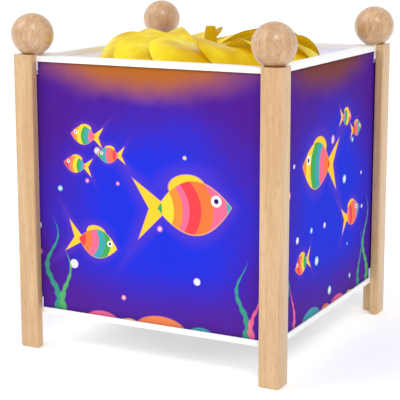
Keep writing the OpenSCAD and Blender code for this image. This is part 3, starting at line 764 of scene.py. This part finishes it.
def add_piece(name, shape, material, replaced, body="root", crease=35, closed=True, fold=None):
    """A piece from (points, faces). Its seams and poles are merged and its faces turned outwards, and a piece that
    should be closed and isn't stops the script. fold, one number for each point, becomes an attribute."""
    mesh = bpy.data.meshes.new(name)
    points, faces = shape
    mesh.from_pydata(np.asarray(points).tolist(), [], faces)
    if fold is not None:
        mesh.attributes.new("fold", "FLOAT", "POINT").data.foreach_set("value", fold.astype(np.float32))
    form = bmesh.new()
    form.from_mesh(mesh)
    bmesh.ops.remove_doubles(form, verts=form.verts, dist=MERGE_GAP)
    bmesh.ops.recalc_face_normals(form, faces=form.faces)
    if closed and any(len(edge.link_faces) != 2 for edge in form.edges):
        raise ValueError(f"{name} has open edges")
    form.to_mesh(mesh)
    form.free()
    return finish_piece(bpy.data.objects.new(name, mesh), material, replaced, body, crease)


def add_softened(node, width, material, body="root"):
    """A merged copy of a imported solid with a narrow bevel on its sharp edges. It replaces that solid."""
    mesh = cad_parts[node].data.copy()
    form = bmesh.new()
    form.from_mesh(mesh)
    bmesh.ops.remove_doubles(form, verts=form.verts, dist=MERGE_GAP)
    bmesh.ops.dissolve_limit(form, angle_limit=math.radians(0.5), verts=form.verts, edges=form.edges)
    form.to_mesh(mesh)
    form.free()
    piece = finish_piece(bpy.data.objects.new("soft_" + node, mesh), material, [node], body, 30)
    bevel = piece.modifiers.new("soft edges", "BEVEL")
    bevel.width = width
    bevel.segments = 2
    bevel.limit_method = "ANGLE"
    bevel.angle_limit = math.radians(40)
    bevel.harden_normals = True


def finish_node(node, material):
    """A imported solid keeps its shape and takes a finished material."""
    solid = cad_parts[node]
    if not solid.material_slots:
        raise ValueError(f"{node} has no material slot")
    for slot in solid.material_slots:
        slot.material = material


# ---- Pieces ----

class LAMP_OT_stage(bpy.types.Operator):
    """Sets the camera, the pale floor and the soft lights"""
    bl_idname = "lamp.stage"
    bl_label = "Camera, Floor and Light"

    def camera(self, context, s):
        side = Vector((math.cos(s.azimuth), math.sin(s.azimuth), 0))
        back = Vector((
            math.sin(s.azimuth) * math.cos(s.elevation), -math.cos(s.azimuth) * math.cos(s.elevation),
            math.sin(s.elevation)))
        lens = bpy.data.cameras.new("camera")
        lens.sensor_width = SENSOR_WIDTH
        lens.lens = s.focal_pixels * SENSOR_WIDTH / PICTURE_WIDTH
        lens.shift_x, lens.shift_y = s.lens_shift
        camera = bpy.data.objects.new("camera", lens)
        camera.matrix_world = Matrix.LocRotScale(
            side * s.aim_side + Vector((0, 0, s.aim_height)) + back * s.distance,
            back.to_track_quat("Z", "Y"), None)
        context.collection.objects.link(camera)
        context.scene.camera = camera

    def floor(self, context, s):
        w, give = new_material("pale_floor")
        speck = w.noise(w.place(), 60, 3, 0.6)
        mesh = bpy.data.meshes.new("floor")
        points, faces = turned([[0, 0], [s.floor_radius, 0]], 128, False)
        mesh.from_pydata(points.tolist(), [], faces)
        mesh.materials.append(give(
            Base_Color=w.mix(speck, paint(250, 250, 250), paint(246, 246, 247)),
            Roughness=w.step(speck, 0.3, 0.7, 0.7, 0.9), Emission_Color=WHITE_LIGHT, Emission_Strength=s.floor_glow))
        ground = bpy.data.objects.new("floor", mesh)
        context.collection.objects.link(ground)

    def execute(self, context):
        s = context.scene.lamp_stage
        self.camera(context, s)
        self.floor(context, s)
        room = bpy.data.worlds.new("room")
        room.use_nodes = True
        white = room.node_tree.nodes["Background"]
        white.inputs["Color"].default_value = WHITE_LIGHT
        white.inputs["Strength"].default_value = s.room_light
        context.scene.world = room
        lamp_middle = Vector((0, 0, 0.1))
        for name, place, size, power in (
                ("key", (1.9, -2.35, 2.9), 1.3, s.key_power), ("top", (-2.4, -1.5, 2.6), 2.4, s.top_power)):
            light = bpy.data.lights.new(name, "AREA")
            light.size = size
            light.energy = power
            lamp = bpy.data.objects.new(name, light)
            aim = Vector(place) - lamp_middle
            lamp.matrix_world = Matrix.LocRotScale(Vector(place), aim.to_track_quat("Z", "Y"), None)
            context.collection.objects.link(lamp)
        context.scene.view_settings.view_transform = "Standard"
        return {"FINISHED"}


class LAMP_OT_posts(bpy.types.Operator):
    """Builds the four beech posts with rounded edges and ends"""
    bl_idname = "lamp.posts"
    bl_label = "Posts"

    def execute(self, context):
        """A post is its L-shaped section at each height, drawn in at both ends by a quarter circle: by
        radius (1 - sin q) at the foot and radius (1 - cos q) at the head."""
        s = context.scene.lamp_case
        low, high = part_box("post_back_right")
        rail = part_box("top_frame")[1].x
        corners = np.array([
            (high.x, high.x), (low.x, high.x), (low.x, rail), (rail, rail), (rail, low.x), (high.x, low.x)])
        inwards = np.array([(-1, -1), (1, -1), (1, 1), (1, 1), (1, 1), (-1, 1)])
        radii = np.array([s.edge_radius, s.edge_radius, s.rebate_radius, 0, s.rebate_radius, s.edge_radius])
        q = np.linspace(0, np.pi / 2, 6)
        inset = np.concatenate([s.foot_radius * (1 - np.sin(q)), s.head_radius * (1 - np.cos(q))])
        height = np.concatenate([s.foot_radius * (1 - np.cos(q)), high.z - s.head_radius * (1 - np.sin(q))])
        outlines = [rounded(corners + step * inwards, np.maximum(radii - step, 0)) for step in inset]
        points, faces = stacked(outlines, height)
        for name, (x, y) in CORNERS.items():
            add_piece("beech_post_" + name, (points * (x, y, 1), faces), post_beech(), ["post_" + name])
        return {"FINISHED"}


class LAMP_OT_balls(bpy.types.Operator):
    """Turns the four ball finials, each cut flat where it sits on its post"""
    bl_idname = "lamp.balls"
    bl_label = "Balls"

    def execute(self, context):
        """A ball's profile is (radius sin t, -radius cos t), from the edge of its seat to its top."""
        cut = context.scene.lamp_case.ball_cut
        for name in CORNERS:
            low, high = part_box("ball_" + name)
            radius = (high.x - low.x) / 2
            centre = np.array([(low.x + high.x) / 2, (low.y + high.y) / 2, high.z - radius])
            t = np.linspace(math.acos(1 - cut / radius), np.pi, 44)
            sphere = np.stack([radius * np.sin(t), -radius * np.cos(t)], -1)
            points, faces = turned(np.concatenate([[[0, sphere[0, 1]]], sphere]), 72, False)
            add_piece("beech_ball_" + name, (points + centre, faces), ball_beech(), ["ball_" + name])
        return {"FINISHED"}


class LAMP_OT_frame_and_tray(bpy.types.Operator):
    """Softens the edges of the moulded top frame and base tray"""
    bl_idname = "lamp.frame_and_tray"
    bl_label = "Frame and Tray"

    def execute(self, context):
        for node in ("top_frame", "base_tray"):
            add_softened(node, context.scene.lamp_case.moulded_edge, frame_white())
        return {"FINISHED"}


class LAMP_OT_panels(bpy.types.Operator):
    """Hangs the four printed film panels, with their shallow bow and waves"""
    bl_idname = "lamp.panels"
    bl_label = "Film Panels"

    def sheet(self, s, low, high):
        """The front panel as a grid of X and Z, its corners notched round the posts. Where a and b run from -1 to 1
        over the free film, it bows inwards by (1 - a^2) (1 - b^2) (bow + wave (sin(2.3 a + 1.1) cos(1.9 b) +
        0.5 sin(4.1 b + 2 a)))."""
        tray_top, frame_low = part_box("base_tray")[1].z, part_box("ball_screws")[0].z
        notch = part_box("post_back_right")[0].x - FIT_GAP
        across = np.concatenate([[low.x], np.linspace(-notch, notch, 71), [high.x]])
        up = np.concatenate([[low.z], np.linspace(tray_top + FIT_GAP, frame_low - FIT_GAP, 61), [high.z]])
        x, z = np.meshgrid(across, up)
        a, b = x / notch, 2 * (z - up[1]) / (up[-2] - up[1]) - 1
        free = np.clip(1 - a ** 2, 0, 1) * np.clip(1 - b ** 2, 0, 1)
        wave = np.sin(2.3 * a + 1.1) * np.cos(1.9 * b) + 0.5 * np.sin(4.1 * b + 2.0 * a)
        y = (low.y + high.y) / 2 + free * (s.film_bow + s.film_wave * wave)
        row, column = np.divmod(np.arange((len(up) - 1) * (len(across) - 1)), len(across) - 1)
        cut = np.isin(row, (0, len(up) - 2)) & np.isin(column, (0, len(across) - 2))
        return x, y, z, grid_quads(len(up), len(across))[~cut].tolist()

    def execute(self, context):
        low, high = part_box("panel_front")
        x, y, z, faces = self.sheet(context.scene.lamp_case, low, high)
        for name, side in PANEL_SIDES.items():
            turn = side * np.pi / 2
            points = np.stack([
                x * np.cos(turn) - y * np.sin(turn), x * np.sin(turn) + y * np.cos(turn), z], -1).reshape(-1, 3)
            piece = add_piece(
                "film_panel_" + name, (points, faces), panel_print(), ["panel_" + name],
                closed=False)
            at = np.array([vertex.co for vertex in piece.data.vertices])
            own = (at[:, 0] * np.cos(turn) + at[:, 1] * np.sin(turn)) / MM
            place = np.stack([own + STRIP_STEP * (side % 2), at[:, 2] / MM, own], -1)
            piece.data.attributes.new("print_place", "FLOAT_VECTOR", "POINT").data.foreach_set(
                "vector", place.astype(np.float32).ravel())
            if piece.data.polygons[0].normal.dot((math.sin(turn), -math.cos(turn), 0)) < 0:
                piece.data.flip_normals()
            piece.data.materials.append(panel_back())
            wall = piece.modifiers.new("film", "SOLIDIFY")
            wall.thickness = high.y - low.y
            wall.offset = 0
            wall.material_offset = wall.material_offset_rim = 1
        return {"FINISHED"}


class LAMP_OT_turbine(bpy.types.Operator):
    """Builds the turbine's vanes, rim and disc, and its hub"""
    bl_idname = "lamp.turbine"
    bl_label = "Turbine"

    def rib(self, s, rim_top, outer, count):
        """Radii from the disc to the rim, the arch there, and the height of the straight root line. The arch is 1 at
        the crest and falls off by the powers 1.45 inwards and 3.2 outwards. Both ends sink into what they meet."""
        sink = 0.6 * MM
        start, end = s.disc_radius - sink, outer - s.rim_thickness / 2
        share = 1 - (1 - np.linspace(0, 1, count)) ** 1.5
        r = start + (end - start) * share
        arch = 1 - np.where(
            r > s.crest_radius, np.abs((r - s.crest_radius) / (end - s.crest_radius)) ** 3.2,
            np.abs((s.crest_radius - r) / (s.crest_radius - start)) ** 1.45)
        return r, arch, (rim_top + s.disc_rise + s.disc_thickness / 2) * (1 - share) + (rim_top - sink) * share

    def vanes(self, s, rim_top, outer):
        """Each vane is a sheet over u, from the disc to the rim, and v, from its open edge to its closed one:
        radius = in + (out - in) (1 - (1 - u)^1.5), angle = v (pitch - slit) - lean arch (1 - v), height = root +
        arch (back rise + vane rise (1 - v)^1.6 + wrinkle). The wrinkle of vane k is a product of two waves,
        sin(9 u + 2.6 v + 1.9 k) cos(5 u + 4.2 v - 1.3 k). The lower face lies one thickness deeper, and a half-round
        lip joins the two at the open edge. Past the crest, where the vane falls steeply, the lower face moves inwards
        by up to 0.6 of the thickness and down by only half of it. Returns the vanes and the fold of each point."""
        r, arch, root = (row[None, :, None] for row in self.rib(s, rim_top, outer, 45))
        end = r.max()
        across = np.linspace(0, 1, 15)
        lip = np.radians(np.arange(150, 0, -30))
        v = np.concatenate([across, across[::-1], 0 * lip])[None, None]
        depth = s.vane_thickness * np.concatenate([0 * across, 0 * across + 1, (1 - np.cos(lip)) / 2])[None, None]
        ahead = s.vane_thickness / 2 * np.concatenate([0 * across, 0 * across, np.sin(lip)])[None, None]
        steep = np.clip((r - s.crest_radius) / (end - s.crest_radius), 0, 1)
        pitch = 2 * np.pi / s.vane_count
        k = np.arange(s.vane_count)[:, None, None]
        angle = s.first_vane + k * pitch + v * (pitch - s.vane_slit) - s.vane_lean * arch * (1 - v) - ahead / r
        radius = r - depth * 0.6 * steep + 0 * angle
        u = (r - r.min()) / (end - r.min())
        wrinkle = s.vane_wrinkle * np.sin(9 * u + 2.6 * v + 1.9 * k) * np.cos(5 * u + 4.2 * v - 1.3 * k)
        rise = s.back_rise + s.vane_rise * (1 - v) ** 1.6 + wrinkle
        height = root + arch * rise - depth * (1 - 0.5 * steep)
        points = np.stack([radius * np.cos(angle), radius * np.sin(angle), height], -1)
        rows, count = points.shape[1:3]
        fold = np.concatenate([across, 2 + across[::-1], 0 * lip - 0.5])
        faces = capped_loops(rows, count)
        return [(vane.reshape(-1, 3), faces) for vane in points], np.tile(fold, rows * s.vane_count)

    def beads(self, s, rim_top, outer):
        """A round bead along each closed edge, from the disc over the arch to the rim."""
        r, arch, root = (row[:, None] for row in self.rib(s, rim_top, outer, 33))
        height = root + s.back_rise * arch - s.vane_thickness / 2
        beads = []
        for k in range(s.vane_count):
            angle = s.first_vane + k * 2 * np.pi / s.vane_count - s.vane_slit
            out, side = np.array([[math.cos(angle), math.sin(angle), 0], [-math.sin(angle), math.cos(angle), 0]])
            beads.append(tube(r * out + height * (0, 0, 1), side, s.bead_radius, 12))
        return beads

    def hub(self, s, foot):
        """The hub: a skirt round the bearing cap, a flange under the disc, and a cone with a shallow dimple on top.
        Its profile is a polygon with rounded corners, of which the last, the tip, gives way to the dimple."""
        low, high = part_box("turbine_hub")
        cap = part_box("bearing_cap")[1]
        bore, top = cap.x + RUN_GAP, foot + s.disc_thickness
        tip, dimple, rim_drop, middle_drop = 0.8 * MM, 1.6 * MM, 0.02 * MM, 0.15 * MM
        body = rounded([
            (bore, low.z), (s.hub_radius, low.z), (s.hub_radius, foot - s.disc_thickness),
            (s.hub_flange, foot - s.disc_thickness), (s.hub_flange, foot), (s.hub_radius, foot),
            (s.hub_radius, top), (s.hub_top, high.z), (tip, high.z)],
            np.array([0.2, 0.3, 0, 0.25, 0.25, 0, 0, 0.5, 0]) * MM, 5)
        return turned(np.concatenate([
            [(0, cap.z), (bore, cap.z)], body[:-5], [(dimple, high.z - rim_drop), (0, high.z - middle_drop)]]),
            64, False)

    def execute(self, context):
        s = context.scene.lamp_rotor
        low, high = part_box("turbine")
        outer, rim_top = high.x, low.z + s.rim_height
        foot = rim_top + s.disc_rise
        rim = ring(outer - s.rim_thickness, outer, low.z, rim_top, 0.35 * MM, 4, 180)
        disc = ring(s.hub_radius + FIT_GAP, s.disc_radius, foot, foot + s.disc_thickness, 0.3 * MM, 4, 72)
        vanes, fold = self.vanes(s, rim_top, outer)
        shape = joined(vanes + self.beads(s, rim_top, outer) + [rim, disc])
        near_closed = 0.8  # fold of the beads, the rim and the disc
        fold = np.concatenate([fold, np.full(len(shape[0]) - len(fold), near_closed)])
        add_piece("vaned_turbine", shape, turbine_yellow(), ["turbine"], "rotor", 40, fold=fold)
        add_piece("turned_hub", self.hub(s, foot), hub_yellow(), ["turbine_hub"], "rotor")
        return {"FINISHED"}


class LAMP_OT_drum(bpy.types.Operator):
    """Wraps the drum's film and its hoop"""
    bl_idname = "lamp.drum"
    bl_label = "Drum"

    def execute(self, context):
        low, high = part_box("drum_film")
        film = ring(high.x - DRUM_FILM, high.x, low.z, high.z, 0.1 * MM, 3, 160)
        add_piece("wrapped_drum", film, drum_print(), ["drum_film"], "rotor")
        low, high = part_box("drum_hoop")
        thickness = 1 * MM
        hoop = ring(high.x - thickness, high.x, low.z, high.z, 0.4 * MM, 4, 160)
        add_piece("drum_ring", hoop, hoop_yellow(), ["drum_hoop"], "rotor")
        return {"FINISHED"}


class LAMP_OT_wire_stand(bpy.types.Operator):
    """Bends the wire stand and its ferrule, and finishes the needle and the bearing cap"""
    bl_idname = "lamp.wire_stand"
    bl_label = "Wire Stand"

    def execute(self, context):
        """The wire is a half circle, (reach cos t, 0, reach sin t), on two straight legs. The ferrule is turned."""
        low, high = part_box("wire_stand")
        radius, sleeve, sleeve_height, near_axis = 1.25 * MM, 2.25 * MM, 6 * MM, 0.1 * MM
        reach = high.x - radius
        crown = high.z - sleeve_height + sleeve
        t = np.linspace(0, np.pi, 49)
        bend = np.stack([reach * np.cos(t), 0 * t, crown - reach + reach * np.sin(t)], -1)
        legs = np.linspace(low.z, crown - reach, 12)[:-1, None] * (0, 0, 1)
        path = np.concatenate([legs + (reach, 0, 0), bend, legs[::-1] + (-reach, 0, 0)])
        wire = tube(path, (0, 1, 0), radius, 24)
        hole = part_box("pivot_needle")[1].x + RUN_GAP
        wall = rounded([
            (near_axis, crown - sleeve), (sleeve, crown - sleeve), (sleeve, high.z), (hole, high.z),
            (hole, crown), (near_axis, crown)], np.array([0, 0.4, 0.4, 0.1, 0, 0]) * MM, 4)
        ferrule = turned(np.concatenate([[(0, crown - sleeve)], wall, [(0, crown)]]), 48, False)
        add_piece("bent_stand", joined([wire, ferrule]), plated_steel(), ["wire_stand"], "stand")
        finish_node("pivot_needle", plated_steel())
        finish_node("bearing_cap", turned_brass())
        return {"FINISHED"}


class LAMP_OT_lampholder(bpy.types.Operator):
    """Glazes the lampholder and softens its bracket"""
    bl_idname = "lamp.lampholder"
    bl_label = "Lampholder"

    def execute(self, context):
        add_softened("lampholder", 0.4 * MM, holder_ceramic())
        add_softened("lampholder_bracket", 0.15 * MM, plated_steel())
        return {"FINISHED"}


class LAMP_OT_bulb(bpy.types.Operator):
    """Blows the bulb's glass and winds its filament"""
    bl_idname = "lamp.bulb"
    bl_label = "Bulb"

    def skin(self, radius, bottom, top):
        """One skin of the glass, turned: a flat foot, a rounded corner, a straight side and a round top, which is
        (radius sin t, top - radius + radius cos t)."""
        steps = 7
        side = rounded([(0.1 * MM, bottom), (radius, bottom), (radius, top - radius)], [0, 2 * MM, 0], steps)
        t = np.linspace(np.pi / 2, 0, 15)
        dome = np.stack([radius * np.sin(t), top - radius + radius * np.cos(t)], -1)
        return turned(np.concatenate([[(0, bottom)], side[steps:1 - steps], dome]), 64, False)

    def glass(self):
        """An outer and an inner skin, and the pinched seal below them."""
        low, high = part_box("bulb_glass")
        wall, seal_height, overlap, half_width, half_depth = 0.9 * MM, 8 * MM, 0.3 * MM, 4 * MM, 1.8 * MM
        foot = low.z + seal_height
        points, faces = self.skin(high.x - wall, foot + wall, high.z - wall)
        inside = (points, [face[::-1] for face in faces])
        pinch = rounded([
            (-half_width, -half_depth), (half_width, -half_depth), (half_width, half_depth),
            (-half_width, half_depth)], 0.8 * MM)
        seal = stacked([pinch, pinch], [low.z, foot + overlap])
        return joined([self.skin(high.x, foot, high.z), inside, seal])

    def filament(self):
        """A coil along X, (x, coil cos t, coil sin t), on two straight supports."""
        low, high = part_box("bulb_filament")
        coil, wire, support, turns, end_gap = 0.52 * MM, 0.15 * MM, 0.22 * MM, 9, 0.2 * MM
        middle = high.z - 0.7 * MM
        t = np.linspace(0, 2 * np.pi * turns, turns * 16)
        x = np.linspace(low.x + end_gap, high.x - end_gap, len(t))
        spiral = np.stack([x, coil * np.cos(t), middle + coil * np.sin(t)], -1)
        wires = [tube(spiral, np.stack([0 * t, np.cos(t), np.sin(t)], -1), wire, 8)]
        for side in (-1, 1):
            rise = np.linspace(low.z, middle, 6)[:, None] * (0, 0, 1)
            wires.append(tube(rise + (side * 1.7 * MM, 0, 0), (1, 0, 0), support, 10))
        return joined(wires)

    def execute(self, context):
        add_piece("blown_glass", self.glass(), bulb_clear(), ["bulb_glass"])
        add_piece("wound_filament", self.filament(), dark_tungsten(), ["bulb_filament"])
        return {"FINISHED"}


class LAMP_OT_wiring(bpy.types.Operator):
    """Lays the two leads, and finishes the terminal block and the grommet"""
    bl_idname = "lamp.wiring"
    bl_label = "Wiring"

    def lead(self, low, high):
        """A lead runs level from the terminal block, through a quarter circle, (bend + bend cos t, bend + bend
        sin t), and straight up into the lampholder."""
        radius, bend = (high.x - low.x) / 2, 4 * MM
        middle, level = (low.x + high.x) / 2, low.z + radius
        t = np.linspace(-np.pi / 2, -np.pi, 13)
        straight = np.linspace(high.y, bend, 9)[:-1]
        arc = np.stack([bend + bend * np.cos(t), level + bend + bend * np.sin(t)], -1)
        rise = np.linspace(level + bend, high.z, 5)[1:]
        path = np.concatenate([
            np.stack([straight, 0 * straight + level], -1), arc, np.stack([0 * rise, rise], -1)])
        return tube(np.concatenate([np.full((len(path), 1), middle), path], -1), (1, 0, 0), radius, 20)

    def grommet(self):
        """A ring with a groove round it, in which the tray's floor sits."""
        low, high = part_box("cable_grommet")
        floor_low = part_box("base_tray")[0].z
        floor_high = floor_low + 1.4 * MM
        flange, groove, bore = (high.x - low.x) / 2, 4.1 * MM, 3 * MM
        points, faces = turned(rounded([
            (bore, low.z), (flange, low.z), (flange, floor_low), (groove, floor_low), (groove, floor_high),
            (flange, floor_high), (flange, high.z), (bore, high.z)],
            np.array([0.3, 0.7, 0.1, 0, 0, 0.1, 0.7, 0.3]) * MM, 5), 64)
        return points + ((low.x + high.x) / 2, (low.y + high.y) / 2, 0), faces

    def execute(self, context):
        for node, material, slot in (
                ("lead_brown", sleeve_brown(), "brown_sleeve"), ("lead_blue", sleeve_blue(), "blue_sleeve")):
            add_piece("laid_" + node, self.lead(*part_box(node)), material, [node])
        add_softened("terminal_block", 0.3 * MM, block_nylon())
        add_piece("rubber_grommet", self.grommet(), grommet_rubber(), ["cable_grommet"])
        return {"FINISHED"}


class LAMP_OT_hardware(bpy.types.Operator):
    """Finishes the screws, nuts, pins and terminal poles"""
    bl_idname = "lamp.hardware"
    bl_label = "Screws and Pins"

    def execute(self, context):
        for node in ("ball_screws", "post_screws", "bracket_screws", "bracket_nuts", "holder_screws", "bulb_pins",
                     "terminal_screws"):
            finish_node(node, plated_steel())
        finish_node("terminal_poles", turned_brass())
        return {"FINISHED"}


# ---- Add-on ----

SETTINGS = {
    "lamp_case": CaseShapes, "lamp_rotor": RotorShapes, "lamp_colours": LampColours, "lamp_stage": StageSettings}
OPERATORS = (
    LAMP_OT_stage, LAMP_OT_posts, LAMP_OT_balls, LAMP_OT_frame_and_tray, LAMP_OT_panels, LAMP_OT_turbine,
    LAMP_OT_drum, LAMP_OT_wire_stand, LAMP_OT_lampholder, LAMP_OT_bulb, LAMP_OT_wiring, LAMP_OT_hardware)


class LAMP_PT_pieces(bpy.types.Panel):
    """Lists the lamp's pieces and their settings"""
    bl_label = "Motion Lamp"
    bl_idname = "LAMP_PT_pieces"
    bl_space_type = "VIEW_3D"
    bl_region_type = "UI"
    bl_category = "Motion Lamp"

    def draw(self, context):
        for group in SETTINGS:
            settings = getattr(context.scene, group)
            box = self.layout.box()
            for name in settings.__annotations__:
                box.prop(settings, name)
        for operator in OPERATORS:
            self.layout.operator(operator.bl_idname)


CLASSES = (*SETTINGS.values(), *OPERATORS, LAMP_PT_pieces)


def register():
    for kind in CLASSES:
        bpy.utils.register_class(kind)
    for name, kind in SETTINGS.items():
        setattr(bpy.types.Scene, name, PointerProperty(type=kind))


def unregister():
    for name in SETTINGS:
        delattr(bpy.types.Scene, name)
    for kind in reversed(CLASSES):
        bpy.utils.unregister_class(kind)


def main():
    register()
    for operator in OPERATORS:
        group, name = operator.bl_idname.split(".")
        getattr(getattr(bpy.ops, group), name)()


if __name__ == "__main__":
    main()
